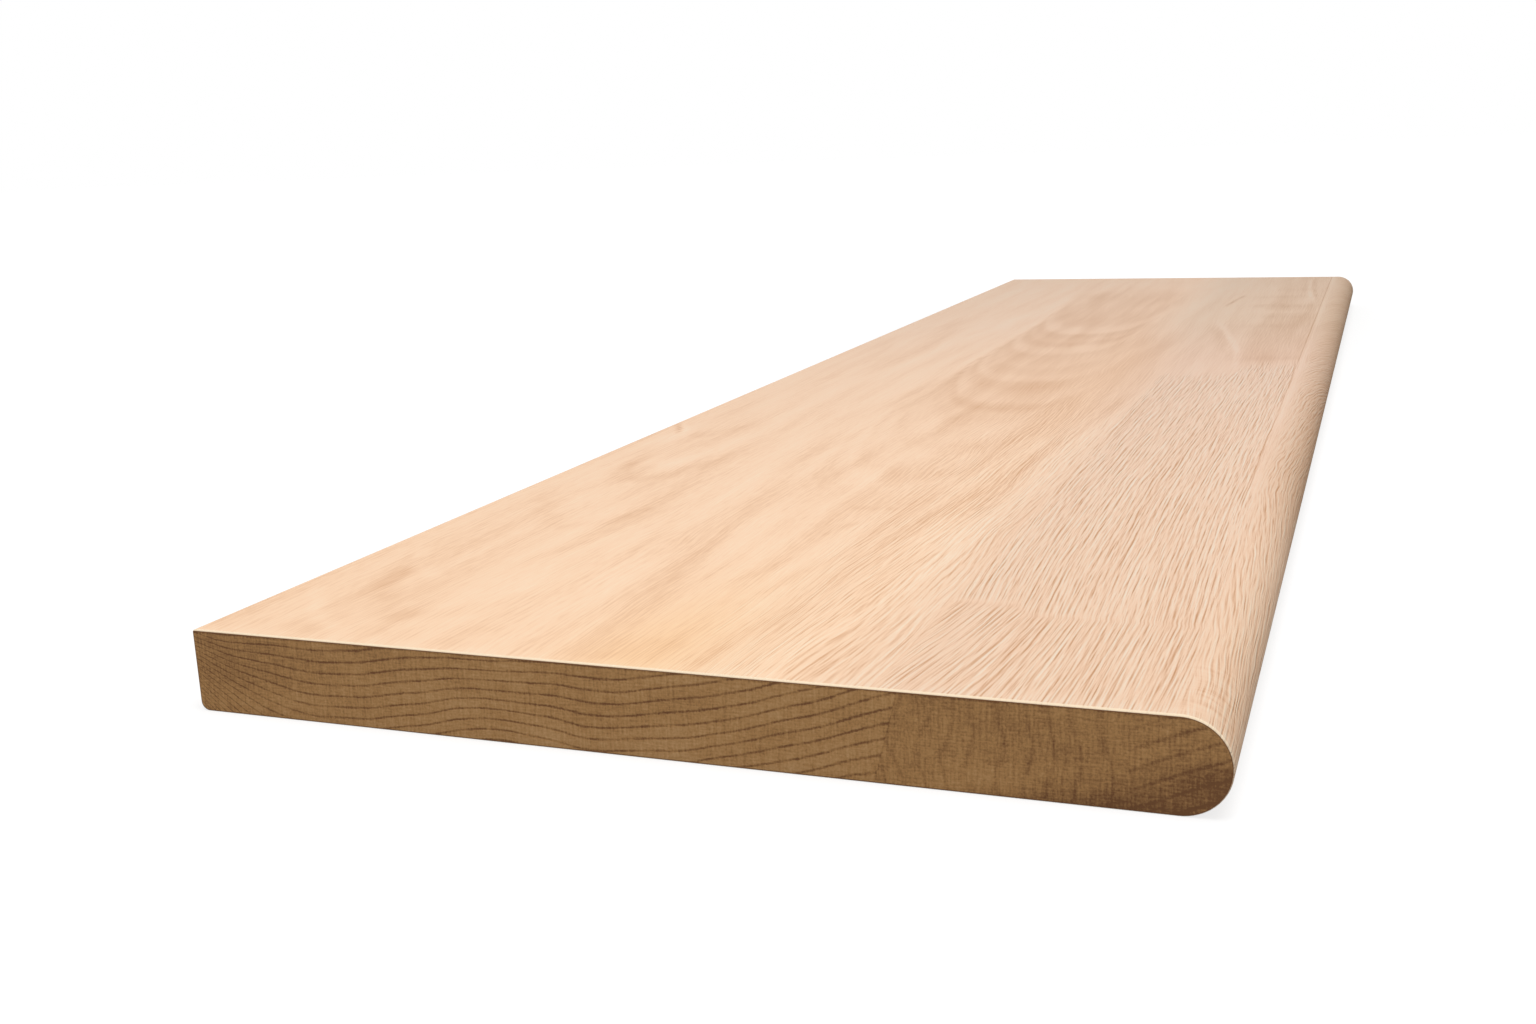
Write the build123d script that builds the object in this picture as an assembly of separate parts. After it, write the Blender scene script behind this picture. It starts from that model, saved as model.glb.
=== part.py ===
from build123d import *
import os

# An oak stair tread: one glued-up board, planed flat, with its front edge moulded to a full
# half-round nosing, its back edge left square and both ends sawn square.
# Millimetres. X runs along the tread, the nosing faces -Y and the walking surface faces +Z.
# The origin is the middle of the underside of the whole tread.

# Overall sizes
length = 1200.0
depth = 320.0
thickness = 27.0

# Edges that the moulder and the sander leave
nosing_radius = thickness / 2
back_bottom_round = 3.0
back_top_round = 0.8
end_arris_round = 0.5

back_y = depth / 2
nosing_tip_y = -depth / 2
nosing_start_y = nosing_tip_y + nosing_radius
end_x = length / 2


def section():
    """The tread cut across its length: a flat board with a half-round front edge.

    The sketch's own X runs along the row's Y, and its own Y is the height.
    """
    with BuildSketch(Plane.YZ) as sketch:
        with BuildLine():
            Line((back_y, 0), (back_y, thickness))
            Line((back_y, thickness), (nosing_start_y, thickness))
            ThreePointArc(
                (nosing_start_y, thickness),
                (nosing_tip_y, thickness / 2),
                (nosing_start_y, 0),
            )
            Line((nosing_start_y, 0), (back_y, 0))
        make_face()
        bottom_corner = sketch.vertices().group_by(Axis.X)[-1].sort_by(Axis.Y)[0]
        fillet(bottom_corner, back_bottom_round)
        top_corner = sketch.vertices().group_by(Axis.X)[-1].sort_by(Axis.Y)[-1]
        fillet(top_corner, back_top_round)
    return sketch.sketch


def tread_board():
    """The section carried along the whole length, with the arris taken off round both ends."""
    with BuildPart() as board:
        add(extrude(section(), amount=end_x, both=True))
        for end in board.faces().filter_by(Axis.X):
            fillet(end.edges(), end_arris_round)
    return board.part


board = tread_board()
board.label = "tread_board"

box = board.bounding_box()
print(f"size {box.size.X:.2f} x {box.size.Y:.2f} x {box.size.Z:.2f} mm")
print(f"solids {len(board.solids())}, volume {board.volume / 1000:.1f} cm3, valid {board.is_valid}")

os.makedirs("parts", exist_ok=True)
export_step(board, "parts/tread_board.step")
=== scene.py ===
import math
from functools import partial

import bpy
import numpy as np
from mathutils import Matrix, Vector


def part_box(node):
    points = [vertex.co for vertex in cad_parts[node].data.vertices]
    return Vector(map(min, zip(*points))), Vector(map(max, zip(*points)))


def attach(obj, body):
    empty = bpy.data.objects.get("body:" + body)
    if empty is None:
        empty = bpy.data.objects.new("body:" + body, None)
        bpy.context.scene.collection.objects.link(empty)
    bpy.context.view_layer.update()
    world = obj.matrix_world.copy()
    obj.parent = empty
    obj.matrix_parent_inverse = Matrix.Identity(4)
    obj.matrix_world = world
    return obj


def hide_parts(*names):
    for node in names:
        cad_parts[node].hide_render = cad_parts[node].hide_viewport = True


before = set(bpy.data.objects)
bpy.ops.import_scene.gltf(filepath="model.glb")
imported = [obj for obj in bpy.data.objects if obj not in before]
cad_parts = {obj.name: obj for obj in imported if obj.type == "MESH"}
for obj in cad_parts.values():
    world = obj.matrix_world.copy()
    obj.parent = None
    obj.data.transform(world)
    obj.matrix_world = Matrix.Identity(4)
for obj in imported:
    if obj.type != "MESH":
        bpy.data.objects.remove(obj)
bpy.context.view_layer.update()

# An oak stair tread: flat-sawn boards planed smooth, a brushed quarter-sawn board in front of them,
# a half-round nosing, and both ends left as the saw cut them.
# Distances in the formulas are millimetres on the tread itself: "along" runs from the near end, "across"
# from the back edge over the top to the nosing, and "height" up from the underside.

boardLow, boardHigh = (np.array(corner) * 1000 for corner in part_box("tread_board"))
treadLength, treadDepth, treadThickness = (boardHigh - boardLow).tolist()
print(f"frame read: tread {treadLength:.0f} x {treadDepth:.0f} x {treadThickness:.0f} mm")


def linearColour(hexText):
    # sRGB hex to the linear red, green, blue and alpha that shaders take
    parts = np.array([int(hexText[i:i + 2], 16) for i in (0, 2, 4)]) / 255
    parts = np.where(parts <= 0.04045, parts / 12.92, ((parts + 0.055) / 1.055) ** 2.4)
    return (*parts.tolist(), 1.0)


def addNode(tree, kind, inputs=None, **settings):
    # One node with its settings; each input is a value or the output that feeds it. Each material binds
    # it to its own tree under the name add.
    made = tree.nodes.new(kind)
    for name, value in settings.items():
        setattr(made, name, value)
    for name, value in (inputs or {}).items():
        if isinstance(value, bpy.types.NodeSocket):
            tree.links.new(value, made.inputs[name])
        else:
            made.inputs[name].default_value = value
    return made


def smoothStep(start, end, value):
    # 0 before start, 1 after end, and an S-curve between them
    share = np.clip((value - start) / (end - start), 0, 1)
    return share * share * (3 - 2 * share)


def hump(value, middle, width):
    # 1 at the middle, and 0.37 at one width to either side
    return np.exp(-((value - middle) / width) ** 2)


def softNoise(first, second, seed):
    # a random value from -1 to 1 at each whole-numbered crossing, blended smoothly in between
    firstCell, secondCell = np.floor(first).astype(int), np.floor(second).astype(int)
    firstStart, secondStart = firstCell.min(), secondCell.min()
    size = (firstCell.max() - firstStart + 2, secondCell.max() - secondStart + 2)
    lattice = np.random.default_rng(seed).uniform(-1, 1, size)
    i, j = firstCell - firstStart, secondCell - secondStart
    a, b = smoothStep(0, 1, first - firstCell), smoothStep(0, 1, second - secondCell)
    near = lattice[i, j] * (1 - a) + lattice[i + 1, j] * a
    far = lattice[i, j + 1] * (1 - a) + lattice[i + 1, j + 1] * a
    return near * (1 - b) + far * b


# The direction of the grain

grain = {
    "brushedFrom": 226.0, "nosingJoint": 301.0,     # glue joints, mm from the back edge
    "seam": 86.0, "seamFront": 75.0,                # where two staves of the brushed board meet, mm
    "seamShift": 0.3,                               # how far the lines miss each other there, mm
}


def seamPlace(across):
    # the seam lies a little nearer in the front part of the board
    return grain["seam"] + (grain["seamFront"] - grain["seam"]) * smoothStep(246, 254, across)


def planedLines(along, across):
    # The grain of the flat-sawn boards as level lines of across + offset. At the near end the offset
    # pushes the lines apart, away from two middle lines; it dies out along the tread.
    opening = 1 - smoothStep(-80, 300, along)
    front = 15 * hump(across, 190, 26) - 8 * hump(across, 120, 20)
    back = 7 * hump(across, 78, 16) - 7 * hump(across, 26, 18)
    wander = 1.8 * softNoise(along / 60, across / 16, 21) + 0.45 * softNoise(along / 22, across / 6, 22)
    return across + opening * (front + back) + wander


def brushedLines(along, across):
    # In the brushed board the lines slant towards the nosing up to the seam: across - slope * (along -
    # seam). After it they start off towards the back and level out: across + lift * (1 - exp(-beyond/75)).
    # From 260 mm on they turn back very slightly.
    seam = seamPlace(across)
    slope = 0.15 - 0.135 * smoothStep(218, 282, across)
    lift = 6.5 - 3.5 * smoothStep(235, 300, across)
    beyond = np.clip(along - seam, 0, None)
    after = across + lift * (1 - np.exp(-beyond / 75)) - 0.012 * np.clip(along - 260, 0, 340)
    wander = 0.35 * softNoise(along / 34, across / 5, 24)
    return np.where(along < seam, across - slope * (along - seam), after + grain["seamShift"]) + wander


def nosingLines(along, run):
    # Round the nosing the fibres rise towards the back at first, then fall, ever more steeply.
    rise = 0.05 - 0.11 * smoothStep(250, 340, along) - 0.16 * smoothStep(480, 600, along)
    risen = np.cumsum(rise[:, :1] * np.diff(along[:, :1], axis=0, prepend=0), axis=0)
    return run + risen + 0.5 * softNoise(along / 14, run / 3, 25)


# The growth rings' figure on the flat-sawn boards

# Rings in order from the near end: where each comes to its point, mm, and its tone, pale above 0
ringTones = [
    (0, 0.0), (110, 0.0), (155, 0.15), (205, -0.2), (222, 0.0), (246, 0.3), (266, -0.2), (286, 0.1),
    (306, 0.2), (332, -0.2), (356, 0.1), (380, 0.12), (404, -0.1), (424, 0.05), (440, -0.45),
    (450, -0.2), (462, 0.28), (482, 0.22), (500, -0.1), (512, -0.34), (528, -0.26), (538, 0.18),
    (552, 0.26), (564, 0.0), (584, -0.16), (602, 0.06), (620, -0.1), (646, -0.26), (660, 0.20),
    (670, 0.34), (684, 0.22), (696, -0.26), (708, -0.32), (718, -0.08), (728, -0.12), (740, -0.36),
    (754, -0.28), (764, 0.24), (776, 0.36), (792, 0.22), (814, -0.20), (850, -0.26), (880, -0.12),
    (920, 0.10), (985, -0.10), (1060, 0.04), (1200, 0.0),
]

# Marks that stand out from the rings: tone, half width in mm, and the points (along, across) of its line
marks = [
    (-0.45, 3.0, [(36, 137), (110, 124), (180, 117), (216, 112), (262, 117)]),
    (-0.50, 2.0, [(88, 147), (105, 155), (156, 157), (188, 166)]),
    (-0.50, 2.2, [(73, 163), (98, 166), (128, 172)]),
    (-0.50, 2.0, [(34, 180), (74, 181)]),
    (-0.45, 3.0, [(124, 178), (180, 188), (290, 204), (400, 214), (500, 220)]),
    (-0.34, 3.0, [(206, 154), (203, 162), (206, 172)]),
    (0.35, 3.0, [(18, 192), (70, 204), (140, 213)]),
    (0.35, 4.0, [(60, 200), (150, 211), (270, 220), (420, 224)]),
    (-0.45, 9.0, [(0, 148), (30, 152)]),
    (0.50, 2.5, [(8, 52), (22, 32), (52, 8)]),
    (0.40, 2.5, [(70, 50), (84, 30), (118, 10)]),
    (-0.45, 5.0, [(76, 93), (38, 76), (28, 57), (56, 32), (138, 8)]),
    (-0.42, 5.0, [(198, 82), (162, 66), (150, 51), (172, 32), (214, 12)]),
    (-0.55, 6.0, [(338, 66), (262, 58), (236, 42), (256, 28), (310, 14)]),
    (0.42, 5.0, [(330, 50), (285, 45), (268, 38), (290, 30)]),
    (-0.35, 4.0, [(386, 42), (352, 36), (340, 28), (364, 20)]),
    (-0.45, 1.6, [(78, 98), (128, 97), (182, 89)]),
    (-0.40, 2.0, [(96, 66), (150, 76), (196, 82)]),
    (-0.25, 8.0, [(480, 30), (530, 24), (560, 34)]),
    (-1.70, 0.9, [(346, 14), (357, 10.5), (368, 5), (380, -1)]),
    (0.60, 1.4, [(352, 15.5), (364, 10.5), (378, 3)]),
    (0.40, 2.6, [(430, 112), (500, 104), (560, 101), (640, 99), (760, 101), (850, 100), (900, 96),
                 (960, 97)]),
    (-0.20, 3.5, [(450, 114), (520, 107), (640, 104), (760, 106), (850, 105), (900, 101), (960, 103)]),
    (-0.40, 2.2, [(500, 187), (560, 193), (640, 197)]),
    (0.75, 2.0, [(596, 267), (690, 260), (760, 248), (850, 233)]),
    (-0.28, 4.0, [(640, 260), (740, 245), (820, 231)]),
    (-1.30, 1.4, [(944, 229), (985, 232), (1032, 237)]),
    (-0.50, 12.0, [(945, 246), (947, 270), (949, 302)]),
    (0.35, 9.0, [(905, 256), (908, 298)]),
    (-0.30, 9.0, [(1015, 240), (1022, 292)]),
    (-0.22, 9.0, [(812, 248), (816, 296)]),
    (-0.22, 8.0, [(872, 256), (870, 294)]),
    (-0.20, 9.0, [(1078, 256), (1082, 292)]),
    (-0.30, 8.0, [(640, 266), (650, 304)]),
    (0.70, 1.8, [(985, 294), (1050, 288), (1110, 285), (1184, 283)]),
    (-0.70, 1.6, [(990, 297), (1060, 292), (1120, 289), (1184, 287)]),
    (-0.30, 5.0, [(560, 46), (660, 50), (800, 44)]),
    (0.30, 6.0, [(540, 62), (700, 66), (840, 78), (960, 92), (1060, 90)]),
]


def ringPlace(along, across):
    # Where a growth ring that crosses this spot comes to its point, in mm from the near end. Each ring
    # is a U that opens to the far end: place = along + spread * log(1 - side^2), where side is the
    # distance from the figure's middle line as a share of the way to the line that its limbs follow.
    # The middle line and the spread belong to the ring, so the place is worked out in a few rounds.
    wander = 5 * softNoise(along / 60, across / 16, 11) + 2.5 * softNoise(along / 20, across / 7, 12)
    upper = 97 + 3 * np.sin(along / 95)
    place = along
    for _ in range(5):
        middle = np.interp(place, [0, 440, 540, 670, 1200], [160, 159, 150, 141, 141])
        spread = np.interp(place, [440, 540, 680, 770, 900], [135, 90, 45, 65, 90])
        up = np.clip((middle - across) / (middle - upper), 0, 0.985)
        down = np.clip((across - middle) / 46, 0, 0.985)
        place = (place + along + spread * np.log(1 - up ** 2) + 48 * np.log(1 - down ** 2) + wander) / 2
    return place


def bandTone(along, across):
    places, tones = np.array(ringTones).T
    band = np.interp(ringPlace(along, across), places, tones)
    upper = 97 + 3 * np.sin(along / 95)
    inFigure = smoothStep(upper, upper + 5, across) * (1 - smoothStep(172, 196, across))
    strong = 0.76 * smoothStep(180, 260, along) - 0.24 * smoothStep(830, 900, along)
    overFigure = smoothStep(380, 490, along) * (1 - smoothStep(1000, 1140, along))
    ground = overFigure * (0.10 * hump(across, 88, 12) - 0.12 * hump(across, 136, 42) - 0.38 * inFigure)
    behindBrushing = smoothStep(400, 450, along) * (1 - smoothStep(720, 800, along))
    lowLimbs = -0.42 * behindBrushing * hump(across, 202, 22)
    plainFront = 0.4 * smoothStep(226, 240, across) * (1 - smoothStep(760, 860, along))
    plainFront = plainFront + (1 - plainFront) * smoothStep(255, 275, across)
    pastBrushing = smoothStep(590, 660, along) * plainFront * (1 - 0.75 * smoothStep(298, 303, across))
    farPale = smoothStep(800, 1100, along) * (0.30 * hump(across, 35, 34) + 0.36 * hump(across, 206, 12))
    dull = pastBrushing * (-0.55 + 0.3 * smoothStep(850, 1000, along))
    # soft darker places: by the near end, in its back corner, short of the figure, and in front of it
    nearMiddle = -0.16 * hump(along, 20, 110) * hump(across, 148, 34)
    backCorner = -0.35 * hump(along, 0, 80) * (1 - smoothStep(20, 90, across))
    shortOfFigure = -0.42 * hump(along, 365, 115) * hump(across, 164, 36)
    inFront = -0.2 * hump(across, 197, 16) * (smoothStep(120, 280, along) - smoothStep(820, 920, along))
    shade = nearMiddle + backCorner + shortOfFigure + inFront
    return band * inFigure * strong + ground + lowLimbs + dull + farPale + shade


def markTone(along, across, tone, halfWidth, points):
    # A soft stroke: full tone on its line, none at twice its half width, tapering to both ends.
    knots = np.array(points, float)
    turns = np.linspace(0, len(knots) - 1, 14 * (len(knots) - 1) + 1)
    line = np.stack([np.interp(turns, np.arange(len(knots)), knots[:, k]) for k in (0, 1)])
    pad = np.pad(line, ((0, 0), (3, 3)), mode="reflect", reflect_type="odd")
    line = sum(pad[:, k:k + line.shape[1]] for k in range(7)) / 7
    reach = 2 * halfWidth
    near = ((along > line[0].min() - reach) & (along < line[0].max() + reach)
            & (across > line[1].min() - reach) & (across < line[1].max() + reach))
    added = np.zeros_like(along)
    a, c = along[near][:, None], across[near][:, None]
    x, y = line[0][None, :-1], line[1][None, :-1]
    dx, dy = np.diff(line[0])[None], np.diff(line[1])[None]
    share = np.clip(((a - x) * dx + (c - y) * dy) / (dx * dx + dy * dy), 0, 1)
    away = np.hypot(a - x - share * dx, c - y - share * dy)
    nearest = away.argmin(axis=1)
    rows = np.arange(len(nearest))
    place = (nearest + share[rows, nearest]) / dx.shape[1]
    taper = smoothStep(0, 0.2, place) * (1 - smoothStep(0.8, 1, place))
    broken = 0.75 + 0.35 * softNoise(a[:, 0] / 9, c[:, 0] / 2.6, 14)
    added[near] = tone * broken * (1 - smoothStep(0, reach, away[rows, nearest])) * (0.25 + 0.75 * taper)
    return added


# The board's own surface

board = {
    "backTopRound": 0.8, "backBottomRound": 3.0, "endArris": 0.5,   # rounds on the edges, mm
    "planedStep": 2.2, "brushedStep": 0.75, "hiddenStep": 12.0,     # mesh spacing round the section, mm
    "nearStep": 3.2, "farStep": 10.0, "stepChange": 800.0,          # mesh spacing along the tread, mm
    "brushedEnd": 577.0, "brushedEndFront": 625.0,                  # where the brushing runs out, mm
    "lineSpacing": 2.6, "lineDepth": 0.06, "lineHalfWidth": 0.8,    # brushed grooves, mm
    "lineLength": 17.0,                                             # how far a groove runs on, mm
    "patchLength": 80.0, "patchWidth": 9.0,                         # soft patches on the flat boards, mm
}


def spaced(start, end, step):
    # evenly spaced values from start to end, no more than about a step apart
    return np.linspace(start, end, max(2, int(abs(end - start) / step) + 1))


def sectionLoop():
    # The section as one closed loop: along the top, half round the nosing, back along the underside,
    # round the lower back corner, up the back edge and round the upper back corner.
    # Returns across, height, the outward normal and the distance run, each as one array.
    nosing = treadThickness / 2
    tangent = treadDepth - nosing
    top, bottom = board["backTopRound"], board["backBottomRound"]
    planed = spaced(top, grain["brushedFrom"] - 4, board["planedStep"])
    brushed = spaced(grain["brushedFrom"] - 4, tangent, board["brushedStep"])
    topRun = np.concatenate([[top], [top + 0.3], planed[1:-1], brushed])
    turn = spaced(0, math.pi, 0.9 / nosing)[1:-1]
    under = np.concatenate([spaced(tangent, bottom + 0.4, board["hiddenStep"]), [bottom]])
    lower = spaced(0, math.pi / 2, 0.25)[1:]
    rise = spaced(bottom, treadThickness - top, 3.0)[1:]
    upper = spaced(0, math.pi / 2, 0.3)[1:-1]
    pieces = [
        (topRun, treadThickness + 0 * topRun, 0 * topRun, 1 + 0 * topRun),
        (tangent + nosing * np.sin(turn), nosing + nosing * np.cos(turn), np.sin(turn), np.cos(turn)),
        (under, 0 * under, 0 * under, -1 + 0 * under),
        (bottom - bottom * np.sin(lower), bottom - bottom * np.cos(lower), -np.sin(lower), -np.cos(lower)),
        (0 * rise, rise, -1 + 0 * rise, 0 * rise),
        (top - top * np.cos(upper), treadThickness - top + top * np.sin(upper),
         -np.cos(upper), np.sin(upper)),
    ]
    across, height, normalAcross, normalUp = (np.concatenate(part) for part in zip(*pieces))
    run = np.cumsum(np.hypot(np.diff(across, prepend=across[0]), np.diff(height, prepend=height[0])))
    return across, height, normalAcross, normalUp, run + top


def stations():
    # Places along the tread, and how far the section is drawn in at each: a quarter circle at both ends.
    arris = board["endArris"]
    turn = spaced(0, math.pi / 2, 0.3)
    nearEnd, drawnIn = arris - arris * np.cos(turn), arris - arris * np.sin(turn)
    near = spaced(arris + 0.3, board["stepChange"], board["nearStep"])
    far = spaced(board["stepChange"], treadLength - arris - 0.3, board["farStep"])[1:]
    along = np.concatenate([nearEnd, near, far, treadLength - nearEnd[::-1]])
    inset = np.concatenate([drawnIn, 0 * near, 0 * far, drawnIn[::-1]])
    return along, inset


def brushedShare(along, across):
    # 1 on the brushed board, fading out where the tread turns smooth; near the end it reaches 6 mm past
    # the nosing's joint
    further = board["brushedEndFront"] - board["brushedEnd"]
    end = board["brushedEnd"] + further * smoothStep(264, 274, across)
    ragged = end + 14 * softNoise(along / 30, across / 3, 31)
    front = grain["nosingJoint"] + 6 * (1 - smoothStep(220, 280, along))
    return (smoothStep(grain["brushedFrom"] - 1, grain["brushedFrom"] + 2, across)
            * (1 - smoothStep(front - 1, front + 2, across))
            * (1 - smoothStep(ragged - 24, ragged + 5, along)))


def treadSurface():
    # The section loop carried along the stations: point = near end + along, back edge - across, height,
    # drawn in along the section's normal by the end arris and by the brushed grooves.
    across, height, normalAcross, normalUp, run = sectionLoop()
    along, inset = stations()
    a, c = np.meshgrid(along, across, indexing="ij")
    run = np.broadcast_to(run, a.shape)
    # Past the nosing's tip the distance counts down again, so that the boards' grain and joints come out
    # on the underside too.
    tip = treadDepth - treadThickness / 2 + math.pi * treadThickness / 4
    onTop = run < tip
    around = tip - np.abs(run - tip)
    # the flat boards' and the nosing's grain; the brushed board's lies between them and has its own
    inFront = around > 0.5 * (grain["brushedFrom"] + grain["nosingJoint"])
    planed = np.where(inFront, nosingLines(a, around), planedLines(a, around))
    brushed = brushedLines(a, around)
    overBrushed = (smoothStep(grain["brushedFrom"] - 2, grain["brushedFrom"] + 2, around)
                   * (1 - smoothStep(grain["nosingJoint"] + 1, grain["nosingJoint"] + 9, around)))
    level = brushed / board["lineSpacing"]
    line = np.round(level)
    broken = softNoise(a / board["lineLength"] + 0.37 * line, line, 41)
    strength = 0.4 + 0.6 * smoothStep(-0.5, 0.4, broken)
    strength = strength * (0.75 + 0.25 * softNoise(0 * line, line, 42)) * brushedShare(a, around) * onTop
    # the lines are softer where the two staves meet, and towards the back of the nearer one
    seamSoft = 1 - (0.6 - 0.45 * smoothStep(258, 280, around)) * hump(a, seamPlace(around), 4)
    nearerBack = (1 - smoothStep(228, 252, around)) * (1 - smoothStep(60, 110, a))
    strength = strength * seamSoft * (1 - 0.6 * nearerBack)
    fromLine = np.abs(level - line) * board["lineSpacing"]
    groove = strength * (1 - smoothStep(0, board["lineHalfWidth"], fromLine)) * board["lineDepth"]
    depth = inset[:, None] + groove * smoothStep(0.4, 2.0, a)
    points = np.stack([
        boardLow[0] + a,
        boardHigh[1] - (c - normalAcross * depth),
        boardLow[2] + height - normalUp * depth,
    ], axis=-1) / 1000
    rows, columns = a.shape
    i, j = np.meshgrid(np.arange(rows - 1), np.arange(columns), indexing="ij")
    nextColumn = (j + 1) % columns
    quads = np.stack([i * columns + j, i * columns + nextColumn,
                      (i + 1) * columns + nextColumn, (i + 1) * columns + j], axis=-1).reshape(-1, 4)
    nearCap = list(range(columns - 1, -1, -1))
    farCap = list(range((rows - 1) * columns, rows * columns))
    mesh = bpy.data.meshes.new("tread")
    mesh.from_pydata(points.reshape(-1, 3), [], quads.tolist() + [nearCap, farCap])
    nearFlat = 1 - smoothStep(300, 560, a)
    # soft patches that follow the grain of the flat boards, clearest towards the near end
    patchLength, patchWidth = board["patchLength"], board["patchWidth"]
    patches = (0.26 * softNoise(a / patchLength, planed / patchWidth, 61)
               + 0.18 * softNoise(a / 34, planed / 4.5, 62))
    tone = bandTone(a, around) + patches * (0.25 + 0.75 * nearFlat) * (1 - smoothStep(200, 226, around))
    for markInfo in marks:
        tone = tone + markTone(a, run, *markInfo)
    # how strongly the fine fibres show: most on the brushed board and the near nosing
    planedCrisp = 0.3 + nearFlat * 0.75 * smoothStep(140, 205, around)
    brushedCrisp = (0.3 + 1.1 * brushedShare(a, around)) * seamSoft * (1 - 0.3 * nearerBack)
    nosingCrisp = 1.3 - 0.8 * smoothStep(600, 760, a)
    otherCrisp = np.where(inFront, nosingCrisp, planedCrisp)
    crisp = otherCrisp + (brushedCrisp - otherCrisp) * overBrushed
    seamShade = (a < seamPlace(around)) * overBrushed * (1 - smoothStep(268, 285, around))
    tone = tone - 0.3 * seamShade * (0.4 + 0.6 * smoothStep(30, 86, a)) + 0.3 * (1 - smoothStep(2, 10, a))
    patterns = {
        "planedLine": planed,
        "brushedLine": brushed,
        "brushedShare": overBrushed,
        "lineStrength": strength,
        "ringTone": tone,
        "amber": hump(a, 5, 75) * hump(around, 154, 24),
        "crispness": crisp,
        "distanceRound": around,
    }
    for name, values in patterns.items():
        attribute = mesh.attributes.new(name, "FLOAT", "POINT")
        attribute.data.foreach_set("value", np.ascontiguousarray(values, np.float32).ravel())
    smooth = np.ones(len(mesh.polygons), bool)
    smooth[-2:] = False
    mesh.polygons.foreach_set("use_smooth", smooth)
    slots = np.zeros(len(mesh.polygons), np.int32)
    slots[-2:] = 1
    mesh.polygons.foreach_set("material_index", slots)
    mesh.update()
    print("tread surface:", rows, "x", columns, "points")
    return mesh


# Planed and brushed oak, along the grain. Bare sanded oak is matt and pale, with the growth rings as
# soft bands, the fibres as fine streaks and the brushed grooves as thin dark lines.

oak = {
    # the arris colour is a painted highlight and the edge colour a painted shade line, round both ends
    "base": "FCDBC1", "pale": "FFF0DE", "deep": "D4A37C", "arris": "FFE8C8", "edge": "8A5C36",
    # the near and far tints paint the light's falloff along the tread, over the first 800 mm
    "nearLitTint": "FFF9EC", "farShadeTint": "F4F2EF", "farShadeFrom": 800.0, "amber": "FFFAED",
    "frontTint": "F4F4F9", "frontFarTint": "F2F5F6",
    # painted shade round the nosing: its near and far tints
    "nearNosing": "FFFCF5", "farNosingShade": "D7C7AF",
    "roughness": 0.7, "specular": 0.3, "ior": 1.5,
    "fineLength": 30.0, "fineWidth": 1.1,           # fibres, mm
    "poreLength": 9.0, "poreWidth": 1.5,            # short open pores, mm
    "ridge": 0.38,                                  # from a fibre's painted shade to its painted highlight, mm
    "broadLength": 150.0, "broadWidth": 11.0,       # soft streaks, mm
    # the fibre and groove tones also carry painted relief shading and highlights
    "broadTone": 0.38, "poreTone": 0.28, "fineTone": 0.3, "fibreShadingTone": 1.3, "groovePoresAndShadingTone": 0.5,
    "jointDark": 0.30, "jointPale": 0.05,           # tone of the nosing's glue joint and the strip by it
    "roundLength": 2.2, "roundWidth": 14.0,         # fine lines that run round the nosing, mm
    "ringShare": 0.28,                              # how far the mesh's rings and marks shift the tone
    "bumpDepth": 0.00008, "bumpStrength": 0.7,      # m, and a share
}


def grainStreaks(add, along, line):
    # Three tones that follow one grain: fibres, pores and soft streaks. The fibres are read twice, the
    # second time moved a little towards the nosing; their difference paints relief shading, a painted
    # highlight in front of each fibre and painted shade behind it.
    fibre = add("ShaderNodeCombineXYZ", {0: along, 1: line}).outputs[0]
    noises = []
    for length, width, moved, detail in (
            (oak["fineLength"], oak["fineWidth"], 0.0, 2.0),
            (oak["fineLength"], oak["fineWidth"], -oak["ridge"], 2.0),
            (oak["poreLength"], oak["poreWidth"], 0.0, 2.0),
            (oak["broadLength"], oak["broadWidth"], 0.0, 3.0)):
        at = add("ShaderNodeMapping", {
            "Vector": fibre, "Scale": (1 / length, 1 / width, 1),
            "Location": (0, moved / width, 0)}).outputs[0]
        noise = add("ShaderNodeTexNoise", {
            "Vector": at, "Scale": 1.0, "Detail": detail, "Roughness": 0.5}).outputs[0]
        noises.append(add("ShaderNodeMath", {0: noise, 1: 0.5}, operation="SUBTRACT").outputs[0])
    fine, ridge, pore, broad = noises
    # painted relief shading: the fibre noise less its copy moved towards the nosing
    fibres = add("ShaderNodeMath", {0: fine, 1: ridge}, operation="SUBTRACT").outputs[0]
    fineTone = add("ShaderNodeMath", {0: fibres, 1: oak["fibreShadingTone"] / oak["fineTone"], 2: fine},
                   operation="MULTIPLY_ADD").outputs[0]
    return fineTone, pore, broad


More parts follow.
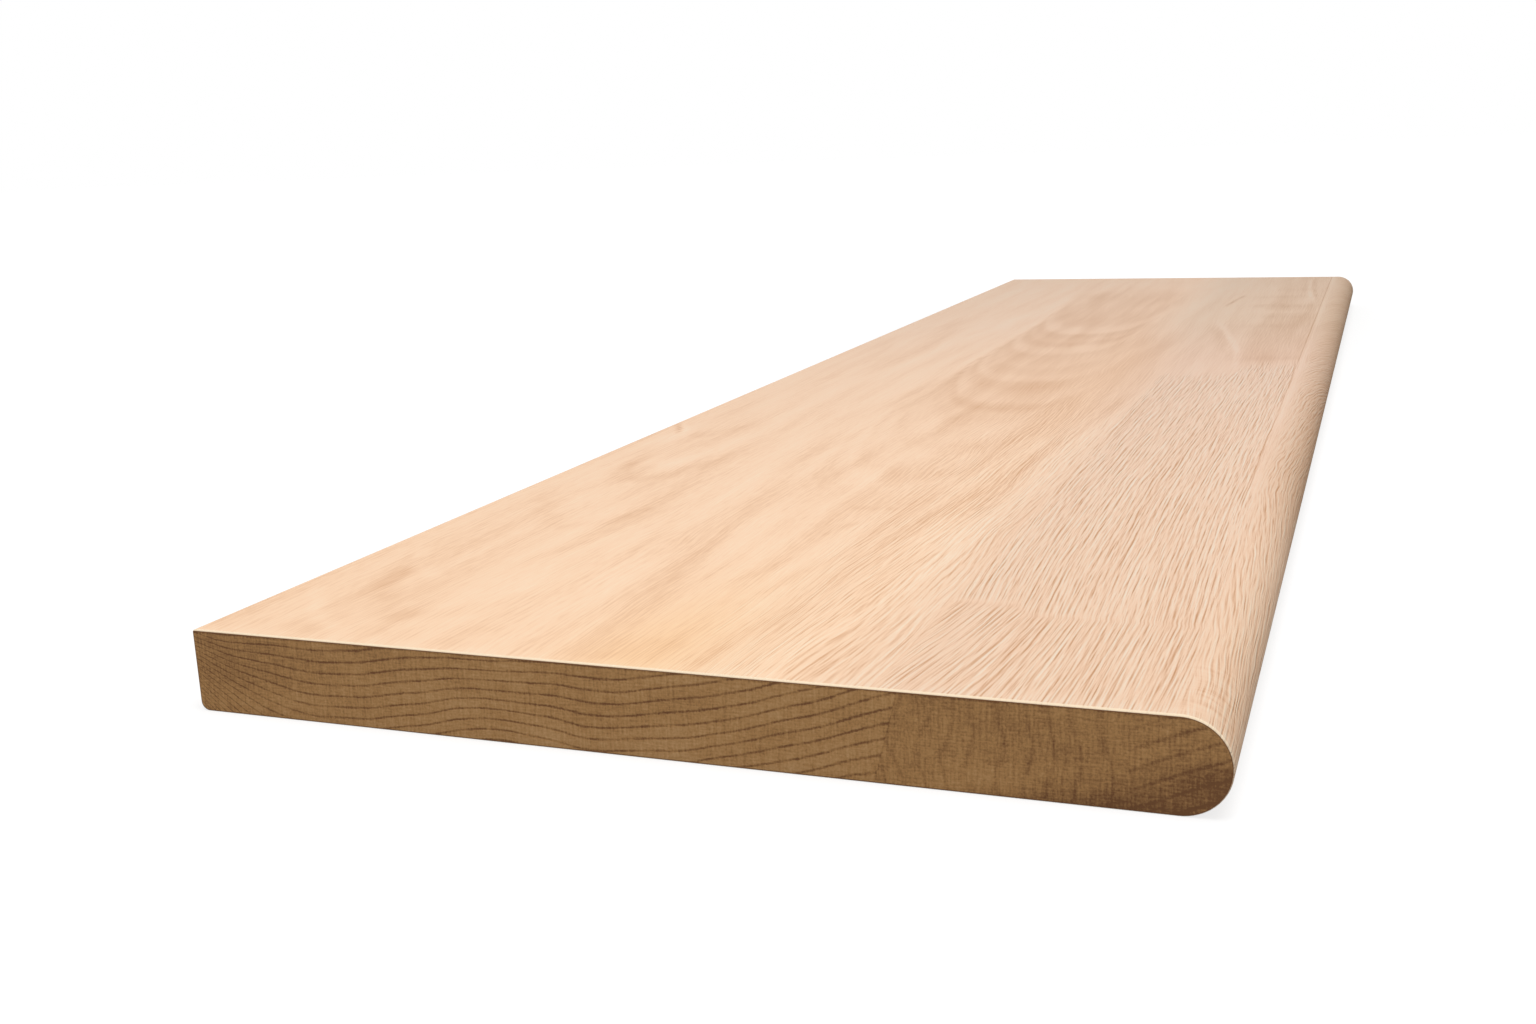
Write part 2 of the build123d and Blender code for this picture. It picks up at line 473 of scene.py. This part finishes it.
def oakMaterial():
    made = bpy.data.materials.new("planed oak")
    made.use_nodes = True
    tree = made.node_tree
    tree.nodes.clear()
    add = partial(addNode, tree)
    place = add("ShaderNodeTexCoord").outputs["Object"]
    # millimetres from the near end, from the back edge and up
    tread = add("ShaderNodeMapping", {
        "Vector": place, "Scale": (1000, -1000, 1000),
        "Location": (-boardLow[0], boardHigh[1], -boardLow[2])}).outputs[0]
    along, _, height = add("ShaderNodeSeparateXYZ", {0: tread}).outputs
    planed = add("ShaderNodeAttribute", attribute_name="planedLine").outputs["Fac"]
    brushed = add("ShaderNodeAttribute", attribute_name="brushedLine").outputs["Fac"]
    overBrushed = add("ShaderNodeAttribute", attribute_name="brushedShare").outputs["Fac"]
    strength = add("ShaderNodeAttribute", attribute_name="lineStrength").outputs["Fac"]
    ring = add("ShaderNodeAttribute", attribute_name="ringTone").outputs["Fac"]
    crisp = add("ShaderNodeAttribute", attribute_name="crispness").outputs["Fac"]
    around = add("ShaderNodeAttribute", attribute_name="distanceRound").outputs["Fac"]

    # fibres, pores and soft streaks, long along the grain and narrow across it, read once on each grain
    # and blended where the boards meet
    flat, front = (grainStreaks(add, along, line) for line in (planed, brushed))
    fineTone, poreMiddled, broadMiddled = (
        add("ShaderNodeMix", {"Factor": overBrushed, "A": first, "B": second}).outputs["Result"]
        for first, second in zip(flat, front))
    crispTone = add("ShaderNodeMath", {0: fineTone, 1: crisp}, operation="MULTIPLY").outputs[0]

    # brushed grooves: dark in the line, partly open pores and partly painted shade, with a painted
    # highlight just in front of it
    offset = add("ShaderNodeMath", {0: brushed, 1: board["lineSpacing"]}, operation="DIVIDE").outputs[0]
    phase = add("ShaderNodeMath", {0: offset}, operation="FRACT").outputs[0]
    profile = add("ShaderNodeValToRGB", {"Fac": phase})
    grooves = profile.color_ramp.elements
    grooves[0].color = (0, 0, 0, 1)
    grooves[1].color = (0, 0, 0, 1)
    for position, value in ((0.07, 0.1), (0.16, 0.7), (0.27, 0.95),
                            (0.45, 0.6), (0.80, 0.52), (0.93, 0.2)):
        grooves.new(position).color = (value, value, value, 1)
    relief = add("ShaderNodeMath", {0: profile.outputs[0], 1: 0.5}, operation="SUBTRACT").outputs[0]
    lines = add("ShaderNodeMath", {0: relief, 1: strength}, operation="MULTIPLY").outputs[0]

    # close to the near end, fine lines run round the nosing too
    roundAt = add("ShaderNodeMapping", {
        "Vector": add("ShaderNodeCombineXYZ", {0: along, 1: around}).outputs[0],
        "Scale": (1 / oak["roundLength"], 1 / oak["roundWidth"], 1)}).outputs[0]
    roundNoise = add("ShaderNodeTexNoise", {"Vector": roundAt, "Scale": 1.0, "Detail": 2.0}).outputs[0]
    roundMiddled = add("ShaderNodeMath", {0: roundNoise, 1: 0.5}, operation="SUBTRACT").outputs[0]
    nearNosing = add("ShaderNodeMapRange", {
        "Value": along, "From Min": 25, "From Max": 50, "To Min": 0.8, "To Max": 0.0}).outputs[0]
    onNosing = add("ShaderNodeMapRange", {
        "Value": around, "From Min": grain["nosingJoint"] + 2,
        "From Max": grain["nosingJoint"] + 7}).outputs[0]
    roundShare = add("ShaderNodeMath", {0: nearNosing, 1: onNosing}, operation="MULTIPLY").outputs[0]

    # tone: 0.5 is the board's own colour
    tone = add("ShaderNodeMath", {0: ring, 1: oak["ringShare"], 2: 0.5},
               operation="MULTIPLY_ADD").outputs[0]
    nearPores = add("ShaderNodeMapRange", {
        "Value": along, "From Min": 250, "From Max": 600,
        "To Min": oak["poreTone"], "To Max": 0.05}).outputs[0]
    for source, share in ((broadMiddled, oak["broadTone"]), (poreMiddled, nearPores),
                          (crispTone, oak["fineTone"]), (lines, oak["groovePoresAndShadingTone"]),
                          (roundMiddled, roundShare)):
        tone = add("ShaderNodeMath", {0: source, 1: share, 2: tone}, operation="MULTIPLY_ADD").outputs[0]

    # the nosing's glue joint: a dark hairline with a pale strip in front of it
    pastBlend = add("ShaderNodeMapRange", {"Value": along, "From Min": 240, "From Max": 290}).outputs[0]
    for middle, halfWidth, change in ((grain["nosingJoint"], 0.7, -oak["jointDark"]),
                                      (grain["nosingJoint"] + 2.4, 2.0, oak["jointPale"])):
        apart = add("ShaderNodeMath", {0: around, 1: middle}, operation="SUBTRACT").outputs[0]
        nearness = add("ShaderNodeMath", {0: apart}, operation="ABSOLUTE").outputs[0]
        band = add("ShaderNodeMapRange", {
            "Value": nearness, "From Max": halfWidth, "To Min": change, "To Max": 0.0},
            interpolation_type="SMOOTHSTEP").outputs[0]
        tone = add("ShaderNodeMath", {0: band, 1: pastBlend, 2: tone}, operation="MULTIPLY_ADD").outputs[0]
    colours = add("ShaderNodeValToRGB", {"Fac": tone})
    stops = colours.color_ramp.elements
    stops[0].color = linearColour(oak["deep"])
    stops[1].color = linearColour(oak["pale"])
    stops.new(0.5).color = linearColour(oak["base"])

    # painted light falloff: the near end lighter and warmer, the far part darker and greyer; an amber
    # patch at the near end's edge, and the brushed board greyer
    farShadeShare = add("ShaderNodeMapRange", {"Value": along, "From Max": oak["farShadeFrom"]}).outputs[0]
    distanceShade = add("ShaderNodeMix", {
        "Factor": farShadeShare, "A": linearColour(oak["nearLitTint"]), "B": linearColour(oak["farShadeTint"])},
        data_type="RGBA").outputs["Result"]
    amber = add("ShaderNodeAttribute", attribute_name="amber").outputs["Fac"]
    patched = add("ShaderNodeMix", {
        "Factor": amber, "A": colours.outputs[0], "B": linearColour(oak["amber"])},
        data_type="RGBA", blend_type="MULTIPLY").outputs["Result"]
    shadedWithDistance = add("ShaderNodeMix", {
        "Factor": 1.0, "A": patched, "B": distanceShade}, data_type="RGBA", blend_type="MULTIPLY").outputs["Result"]
    # past the brushing, the grey reaches further back
    pastBrushing = add("ShaderNodeMapRange", {"Value": along, "From Min": 640, "From Max": 860}).outputs[0]
    greyAt = add("ShaderNodeMath", {0: pastBrushing, 1: 18.0, 2: around},
                 operation="MULTIPLY_ADD").outputs[0]
    overFront = add("ShaderNodeMapRange", {
        "Value": greyAt, "From Min": grain["brushedFrom"] - 28,
        "From Max": grain["brushedFrom"] + 8}).outputs[0]
    frontTint = add("ShaderNodeMix", {
        "Factor": pastBrushing, "A": linearColour(oak["frontTint"]),
        "B": linearColour(oak["frontFarTint"])}, data_type="RGBA").outputs["Result"]
    greyed = add("ShaderNodeMix", {
        "Factor": overFront, "A": shadedWithDistance, "B": frontTint},
        data_type="RGBA", blend_type="MULTIPLY").outputs["Result"]
    # painted shade: the nosing turns darker and browner as it curves down, less so near the end
    roundNosingShade = add("ShaderNodeMapRange", {
        "Value": around, "From Min": grain["nosingJoint"] + 2,
        "From Max": grain["nosingJoint"] + 28}).outputs[0]
    downNosing = add("ShaderNodeMapRange", {"Value": along, "From Min": 180, "From Max": 320}).outputs[0]
    nosingShadeTint = add("ShaderNodeMix", {
        "Factor": downNosing, "A": linearColour(oak["nearNosing"]), "B": linearColour(oak["farNosingShade"])},
        data_type="RGBA").outputs["Result"]
    nosingShaded = add("ShaderNodeMix", {
        "Factor": roundNosingShade, "A": greyed, "B": nosingShadeTint},
        data_type="RGBA", blend_type="MULTIPLY").outputs["Result"]

    # the arris round both ends: a painted highlight on its upper part where it meets the faces, and a thin
    # painted shade line where it meets the end grain
    fromEnd = add("ShaderNodeMath", {0: along, 1: treadLength}, operation="PINGPONG").outputs[0]
    arrisHighlightShare = add("ShaderNodeMapRange", {
        "Value": fromEnd, "From Min": 1.0, "From Max": 1.6, "To Min": 1.0, "To Max": 0.0}).outputs[0]
    upper = add("ShaderNodeMapRange", {"Value": height, "From Min": 10, "From Max": 22}).outputs[0]
    arris = add("ShaderNodeMath", {0: arrisHighlightShare, 1: upper}, operation="MULTIPLY").outputs[0]
    arrisHighlighted = add("ShaderNodeMix", {
        "Factor": arris, "A": nosingShaded, "B": linearColour(oak["arris"])}, data_type="RGBA").outputs["Result"]
    edgeShadeShare = add("ShaderNodeMapRange", {
        "Value": fromEnd, "From Min": 0.03, "From Max": 0.08, "To Min": 1.0, "To Max": 0.0}).outputs[0]
    surface = add("ShaderNodeMix", {
        "Factor": edgeShadeShare, "A": arrisHighlighted, "B": linearColour(oak["edge"])}, data_type="RGBA")

    heights = add("ShaderNodeMath", {0: lines, 1: 2.0, 2: crispTone}, operation="MULTIPLY_ADD").outputs[0]
    bump = add("ShaderNodeBump", {
        "Height": heights, "Distance": oak["bumpDepth"], "Strength": oak["bumpStrength"]}).outputs[0]
    shader = add("ShaderNodeBsdfPrincipled", {
        "Base Color": surface.outputs["Result"], "Roughness": oak["roughness"], "IOR": oak["ior"],
        "Specular IOR Level": oak["specular"], "Normal": bump})
    add("ShaderNodeOutputMaterial", {"Surface": shader.outputs[0]})
    return made


# Sawn end grain: rougher and darker than the faces, because its open pores swallow light. Growth rings
# cross it as thin dark lines, and the saw and the rays leave fine upright marks.

endGrain = {
    "wood": "D09C61", "line": "8A5D36", "pale": "EDBE86",
    "ringHalfWidth": 0.18,                          # as a share of the rings' spacing
    "quarterSpacing": 6.5, "tipSpacing": 5.4,       # rings in the brushed board and at the nosing, mm
    "jointTop": 233.0, "jointSlant": 0.26,          # glue joint between the boards, mm, and its slant
    "tipFrom": 294.0,                               # where the nosing's rings start, mm
    # how much darker it is on a ring, at the joint, in front of it, in the lower corner, and by painted
    # shade at the top
    "ringTone": 0.5, "jointTone": 0.16, "frontTone": 0.13, "brownTone": 0.46, "topShadeTone": 0.35,
    "frontFade": 0.27, "tipFade": 0.24,             # how clear the rings in front of the joint are
    "tipRise": 0.42,                                # how steeply they rise to the tip
    "roughness": 0.8, "bumpDepth": 0.0001, "bumpStrength": 0.6,
    # fine patterns: their size along, across and up in mm, where 0 is unchanging, and how much each shows
    "textures": [(0, 0.8, 7, 0.62), (0, 5, 0.6, 0.58), (1, 0.7, 0.7, 0.66), (0, 26, 9, 0.45)],
}

# Places across the board and, at each, one growth ring's depth below the top and the rings' spacing, mm
ringDepths = [
    (0, 6.3, 1.5), (10, 10.4, 2.0), (20, 13.6, 2.7), (30, 16.0, 3.2), (40, 17.2, 3.5), (50, 17.4, 3.6),
    (60, 17.0, 3.6), (70, 15.7, 3.6), (80, 13.9, 3.6), (90, 12.4, 3.4), (100, 11.2, 3.2),
    (110, 10.3, 3.1), (120, 10.7, 3.3), (130, 11.1, 3.5), (140, 11.5, 3.7), (150, 10.9, 3.7),
    (160, 9.6, 3.7), (170, 8.1, 3.7), (180, 6.0, 3.7), (190, 3.6, 3.8), (200, 0.1, 3.9),
    (210, -3.3, 4.0), (220, -7.4, 4.1), (234, -13.0, 4.4),
]


def endMaterial():
    made = bpy.data.materials.new("sawn oak end grain")
    made.use_nodes = True
    tree = made.node_tree
    tree.nodes.clear()
    add = partial(addNode, tree)
    place = add("ShaderNodeTexCoord").outputs["Object"]
    tread = add("ShaderNodeMapping", {
        "Vector": place, "Scale": (1000, -1000, 1000),
        "Location": (-boardLow[0], boardHigh[1], -boardLow[2])}).outputs[0]
    _, across, height = add("ShaderNodeSeparateXYZ", {0: tread}).outputs
    depth = add("ShaderNodeMath", {0: treadThickness, 1: height}, operation="SUBTRACT").outputs[0]

    # the rings wander by about 0.5 mm, and their edges by 0.1 mm
    wander = add("ShaderNodeTexNoise", {"Vector": tread, "Scale": 1 / 20, "Detail": 0.0}).outputs[0]
    ragged = add("ShaderNodeTexNoise", {"Vector": tread, "Scale": 1 / 1.2, "Detail": 2.0}).outputs[0]
    shifted = add("ShaderNodeMath", {0: wander, 1: 2.0, 2: depth}, operation="MULTIPLY_ADD").outputs[0]
    uneven = add("ShaderNodeMath", {0: ragged, 1: 0.5, 2: shifted}, operation="MULTIPLY_ADD").outputs[0]

    # flat-sawn boards: phase = (depth - depth of one ring there) / spacing there
    widest = ringDepths[-1][0]
    share = add("ShaderNodeMath", {0: across, 1: widest}, operation="DIVIDE").outputs[0]
    lowest, highest, widestSpacing = -14.0, 18.0, 5.0
    ringDepth, spacing = (add("ShaderNodeFloatCurve", {"Value": share}) for _ in range(2))
    for curve, column, low, high in ((ringDepth, 1, lowest, highest), (spacing, 2, 0.0, widestSpacing)):
        knots = curve.mapping.curves[0].points
        for index, row in enumerate(ringDepths):
            at = (row[0] / widest, (row[column] - low) / (high - low))
            if index in (0, len(ringDepths) - 1):
                knots[0 if index == 0 else len(knots) - 1].location = at
            else:
                knots.new(*at)
        curve.mapping.update()
    # the noises' own middle, 1.25 mm, is added to the ring's depth
    ringDepthMm = add("ShaderNodeMath", {0: ringDepth.outputs[0], 1: highest - lowest, 2: lowest + 1.25},
                      operation="MULTIPLY_ADD").outputs[0]
    spacingMm = add("ShaderNodeMath", {0: spacing.outputs[0], 1: widestSpacing},
                    operation="MULTIPLY").outputs[0]
    fromRing = add("ShaderNodeMath", {0: uneven, 1: ringDepthMm}, operation="SUBTRACT").outputs[0]
    flatPhase = add("ShaderNodeMath", {0: fromRing, 1: spacingMm}, operation="DIVIDE").outputs[0]

    # brushed board: rings nearly upright, and at the nosing they lean back and rise to the tip
    leaning = add("ShaderNodeMath", {0: wander, 1: 12.0, 2: across}, operation="MULTIPLY_ADD").outputs[0]
    upright = add("ShaderNodeMath", {0: leaning, 1: endGrain["quarterSpacing"]},
                  operation="DIVIDE").outputs[0]
    rising = add("ShaderNodeMath", {0: across, 1: endGrain["tipRise"], 2: uneven},
                 operation="MULTIPLY_ADD").outputs[0]
    tipPhase = add("ShaderNodeMath", {0: rising, 1: endGrain["tipSpacing"]}, operation="DIVIDE").outputs[0]
    atTip = add("ShaderNodeMath", {0: across, 1: endGrain["tipFrom"]}, operation="GREATER_THAN").outputs[0]
    frontPhase = add("ShaderNodeMix", {"Factor": atTip, "A": upright, "B": tipPhase}).outputs["Result"]
    slanted = add("ShaderNodeMath", {0: depth, 1: endGrain["jointSlant"], 2: across},
                  operation="MULTIPLY_ADD").outputs[0]
    inFront = add("ShaderNodeMath", {0: slanted, 1: endGrain["jointTop"]},
                  operation="GREATER_THAN").outputs[0]
    phase = add("ShaderNodeMix", {"Factor": inFront, "A": flatPhase, "B": frontPhase}).outputs["Result"]
    fromLine = add("ShaderNodeMath", {0: phase, 1: 0.5}, operation="PINGPONG").outputs[0]
    onLine = add("ShaderNodeMapRange", {
        "Value": fromLine, "From Max": endGrain["ringHalfWidth"],
        "To Min": 1.0, "To Max": 0.0}, interpolation_type="SMOOTHERSTEP").outputs[0]
    patchAt = add("ShaderNodeMapping", {"Vector": tread, "Scale": (1 / 9, 1 / 9, 1 / 2)}).outputs[0]
    patch = add("ShaderNodeTexNoise", {"Vector": patchAt, "Scale": 1.0, "Detail": 2.0}).outputs[0]
    broken = add("ShaderNodeMapRange", {
        "Value": patch, "From Min": 0.35, "From Max": 0.6, "To Min": 0.55, "To Max": 1.0}).outputs[0]
    frontFade = add("ShaderNodeMapRange", {
        "Value": inFront, "To Min": 1.0, "To Max": endGrain["frontFade"]}).outputs[0]
    lineDark = add("ShaderNodeMath", {0: onLine, 1: broken}, operation="MULTIPLY").outputs[0]
    tipFade = add("ShaderNodeMapRange", {
        "Value": across, "From Min": endGrain["tipFrom"] - 2, "From Max": endGrain["tipFrom"] + 14,
        "To Min": 0.0, "To Max": endGrain["tipFade"]}).outputs[0]
    tipClear = add("ShaderNodeMath", {0: tipFade, 1: frontFade}, operation="ADD").outputs[0]
    backFade = add("ShaderNodeMapRange", {
        "Value": across, "From Min": 30, "From Max": 95, "To Min": 0.8, "To Max": 1.0}).outputs[0]
    faded = add("ShaderNodeMath", {0: backFade, 1: tipClear}, operation="MULTIPLY").outputs[0]
    rings = add("ShaderNodeMath", {0: lineDark, 1: faded}, operation="MULTIPLY").outputs[0]

    # fine upright saw marks, level fibres and specks
    texture = []
    for *size, amount in endGrain["textures"]:
        scale = [1 / step if step else 0 for step in size]
        at = add("ShaderNodeMapping", {"Vector": tread, "Scale": scale}).outputs[0]
        noise = add("ShaderNodeTexNoise", {"Vector": at, "Scale": 1.0, "Detail": 2.0}).outputs[0]
        middled = add("ShaderNodeMath", {0: noise, 1: 0.5}, operation="SUBTRACT").outputs[0]
        texture.append((middled, amount))
    # tone: 0.5 is the wood's own colour
    tone = add("ShaderNodeMath", {0: rings, 1: -endGrain["ringTone"], 2: 0.5},
               operation="MULTIPLY_ADD").outputs[0]
    # the lower corner below the nosing is browner
    towardsTip = add("ShaderNodeMath", {0: depth, 1: 4.0, 2: across}, operation="MULTIPLY_ADD").outputs[0]
    brown = add("ShaderNodeMapRange", {
        "Value": towardsTip, "From Min": 340, "From Max": 404,
        "To Min": 0.0, "To Max": -endGrain["brownTone"]}, interpolation_type="SMOOTHSTEP").outputs[0]
    tone = add("ShaderNodeMath", {0: tone, 1: brown}, operation="ADD").outputs[0]
    # the glue joint is a thin dark line
    fromJoint = add("ShaderNodeMath", {0: slanted, 1: endGrain["jointTop"]},
                    operation="SUBTRACT").outputs[0]
    jointAway = add("ShaderNodeMath", {0: fromJoint}, operation="ABSOLUTE").outputs[0]
    joint = add("ShaderNodeMapRange", {
        "Value": jointAway, "From Max": 0.5, "To Min": -endGrain["jointTone"], "To Max": 0.0}).outputs[0]
    # the wood is browner towards the back edge and in front of the joint, and paler low down
    edges = add("ShaderNodeMapRange", {
        "Value": across, "From Min": 25, "From Max": 75, "To Min": -0.10, "To Max": 0.03}).outputs[0]
    low = add("ShaderNodeMapRange", {
        "Value": depth, "From Min": 12, "From Max": 24, "To Min": 0.0, "To Max": 0.09}).outputs[0]
    frontTone = add("ShaderNodeMath", {0: inFront, 1: -endGrain["frontTone"], 2: joint},
                    operation="MULTIPLY_ADD").outputs[0]
    # painted shade: a thin dark line lies right under the upper arris
    topEdgeShade = add("ShaderNodeMapRange", {
        "Value": depth, "From Min": 0.5, "From Max": 1.2,
        "To Min": -endGrain["topShadeTone"], "To Max": 0.0}).outputs[0]
    for change in (frontTone, edges, low, topEdgeShade):
        tone = add("ShaderNodeMath", {0: tone, 1: change}, operation="ADD").outputs[0]
    for source, amount in texture:
        tone = add("ShaderNodeMath", {0: source, 1: amount, 2: tone}, operation="MULTIPLY_ADD").outputs[0]
    colours = add("ShaderNodeValToRGB", {"Fac": tone})
    stops = colours.color_ramp.elements
    stops[0].color = linearColour(endGrain["line"])
    stops[1].color = linearColour(endGrain["pale"])
    stops.new(0.5).color = linearColour(endGrain["wood"])
    bump = add("ShaderNodeBump", {
        "Height": tone, "Distance": endGrain["bumpDepth"],
        "Strength": endGrain["bumpStrength"]}).outputs[0]
    shader = add("ShaderNodeBsdfPrincipled", {
        "Base Color": colours.outputs[0], "Roughness": endGrain["roughness"],
        "IOR": oak["ior"], "Normal": bump})
    add("ShaderNodeOutputMaterial", {"Surface": shader.outputs[0]})
    return made


tread = bpy.data.objects.new("tread", treadSurface())
bpy.context.scene.collection.objects.link(tread)
tread.data.materials.append(oakMaterial())
tread.data.materials.append(endMaterial())
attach(tread, "root")
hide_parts("tread_board")
print("tread finished")


# Floor, lamps and world

studio = {
    "floorHalf": 12.0, "floorBounce": "9C9C9C",
    "shadowFrom": 0.30, "shadowTo": 0.75,           # the floor's shading fades out between these, m
    "shadowShare": 0.35, "floorWhite": 1.12,
    "worldLevel": 0.42, "lampLevel": 0.6, "lampPlace": (-0.6, -0.3, 1.9), "lampSize": 1.1,
}


def studioFloor():
    mesh = bpy.data.meshes.new("floor")
    half = studio["floorHalf"]
    corners = [(-half, -half, 0), (half, -half, 0), (half, half, 0), (-half, half, 0)]
    mesh.from_pydata(corners, [], [(0, 1, 2, 3)])
    floor = bpy.data.objects.new("floor", mesh)
    bpy.context.scene.collection.objects.link(floor)
    material = bpy.data.materials.new("white floor")
    material.use_nodes = True
    tree = material.node_tree
    tree.nodes.clear()
    add = partial(addNode, tree)
    # seen by the camera it is white, and keeps the tread's shadow near the tread
    place = add("ShaderNodeTexCoord").outputs["Object"]
    stretched = add("ShaderNodeMapping", {"Vector": place, "Scale": (0.6, 1.0, 1.0)}).outputs[0]
    away = add("ShaderNodeVectorMath", {0: stretched}, operation="LENGTH").outputs["Value"]
    shaded = add("ShaderNodeMapRange", {
        "Value": away, "From Min": studio["shadowFrom"], "From Max": studio["shadowTo"],
        "To Min": studio["shadowShare"], "To Max": 0.0}, interpolation_type="SMOOTHSTEP").outputs[0]
    white = add("ShaderNodeEmission", {"Color": (1, 1, 1, 1), "Strength": studio["floorWhite"]}).outputs[0]
    lit = add("ShaderNodeBsdfDiffuse", {"Color": (1, 1, 1, 1)}).outputs[0]
    seenFloor = add("ShaderNodeMixShader", {0: shaded, 1: white, 2: lit}).outputs[0]
    bounce = add("ShaderNodeBsdfDiffuse", {"Color": linearColour(studio["floorBounce"])}).outputs[0]
    seen = add("ShaderNodeLightPath").outputs["Is Camera Ray"]
    either = add("ShaderNodeMixShader", {0: seen, 1: bounce, 2: seenFloor}).outputs[0]
    add("ShaderNodeOutputMaterial", {"Surface": either})
    floor.data.materials.append(material)


def studioLight():
    world = bpy.data.worlds.new("studio")
    bpy.context.scene.world = world
    world.use_nodes = True
    tree = world.node_tree
    tree.nodes.clear()
    add = partial(addNode, tree)
    path = add("ShaderNodeLightPath").outputs
    seen = add("ShaderNodeMath", {0: path["Is Camera Ray"], 1: path["Is Glossy Ray"]}, operation="ADD")
    either = add("ShaderNodeMath", {0: seen.outputs[0], 1: path["Is Transmission Ray"]},
                 operation="ADD", use_clamp=True).outputs[0]
    level = add("ShaderNodeMapRange", {
        "Value": either, "To Min": studio["worldLevel"], "To Max": 1.0}).outputs[0]
    light = add("ShaderNodeBackground", {"Color": (1, 1, 1, 1), "Strength": level})
    add("ShaderNodeOutputWorld", {"Surface": light.outputs[0]})
    lamp = bpy.data.lights.new("softbox", "AREA")
    lamp.shape = "SQUARE"
    lamp.size = studio["lampSize"]
    holder = bpy.data.objects.new("softbox", lamp)
    holder.location = studio["lampPlace"]
    aim = Vector((-0.1, 0, 0)) - holder.location
    # a small lamp of power P gives a flat surface at distance d the light P / (pi d^2)
    lamp.energy = studio["lampLevel"] * math.pi ** 2 * aim.length_squared
    holder.rotation_euler = aim.to_track_quat("-Z", "Y").to_euler()
    bpy.context.scene.collection.objects.link(holder)


# The camera stands where the photograph was taken from: just beyond the near end, a little above it

camera = {
    "place": (-0.98465, -0.19016, 0.17015), "lens": 37.294,        # m, and mm on a 36 mm sensor
    "heading": -68.480, "downwards": 13.047, "roll": -2.415,       # degrees
}


def photoCamera():
    data = bpy.data.cameras.new("camera")
    data.sensor_width = 36.0
    data.lens = camera["lens"]
    data.clip_start = 0.01
    holder = bpy.data.objects.new("camera", data)
    turn = (Matrix.Rotation(math.radians(camera["heading"]), 4, "Z")
            @ Matrix.Rotation(math.radians(90 - camera["downwards"]), 4, "X")
            @ Matrix.Rotation(math.radians(camera["roll"]), 4, "Z"))
    holder.matrix_world = Matrix.Translation(camera["place"]) @ turn
    bpy.context.scene.collection.objects.link(holder)
    bpy.context.scene.camera = holder


studioFloor()
studioLight()
photoCamera()
bpy.context.scene.view_settings.view_transform = "Standard"
print("studio ready")
